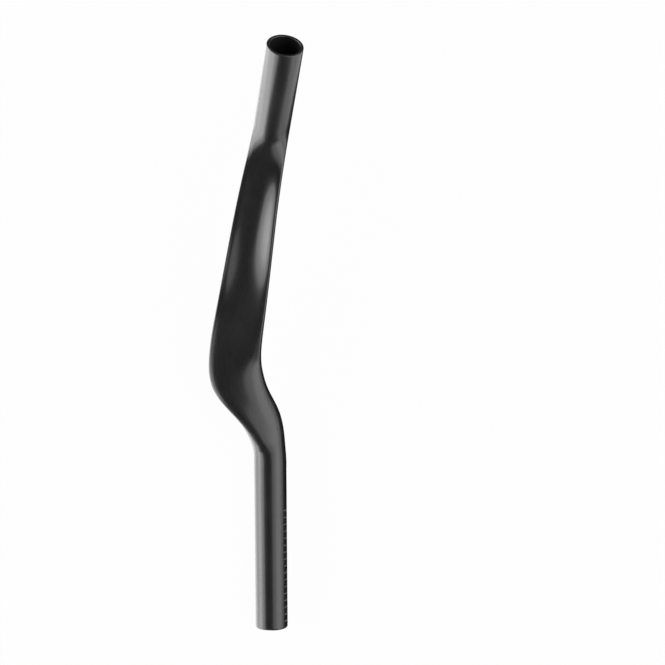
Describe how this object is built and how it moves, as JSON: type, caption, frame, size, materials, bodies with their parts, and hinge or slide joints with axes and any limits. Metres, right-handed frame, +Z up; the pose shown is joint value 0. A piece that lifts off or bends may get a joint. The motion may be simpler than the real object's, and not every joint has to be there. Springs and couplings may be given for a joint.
{
  "type": "aero handlebar extension",
  "caption": "Hollow moulded aero bar extension for the left hand: round clamp section, outward S-bend, flat-topped forearm rest with a raised inner lip, and a round grip turned up and inward.",
  "frame": {"origin": "on the axis of the round clamp section, halfway along it", "axes": "+Y forward along the clamp section towards the grip, +Z up, +X inward towards the other bar of the pair"},
  "size_m": [0.0668, 0.4112, 0.0876],
  "materials": {
    "carbon": "satin black carbon laminate"
  },
  "bodies": {
    "root": {"extension_bar": "carbon"}
  },
  "joints": []
}
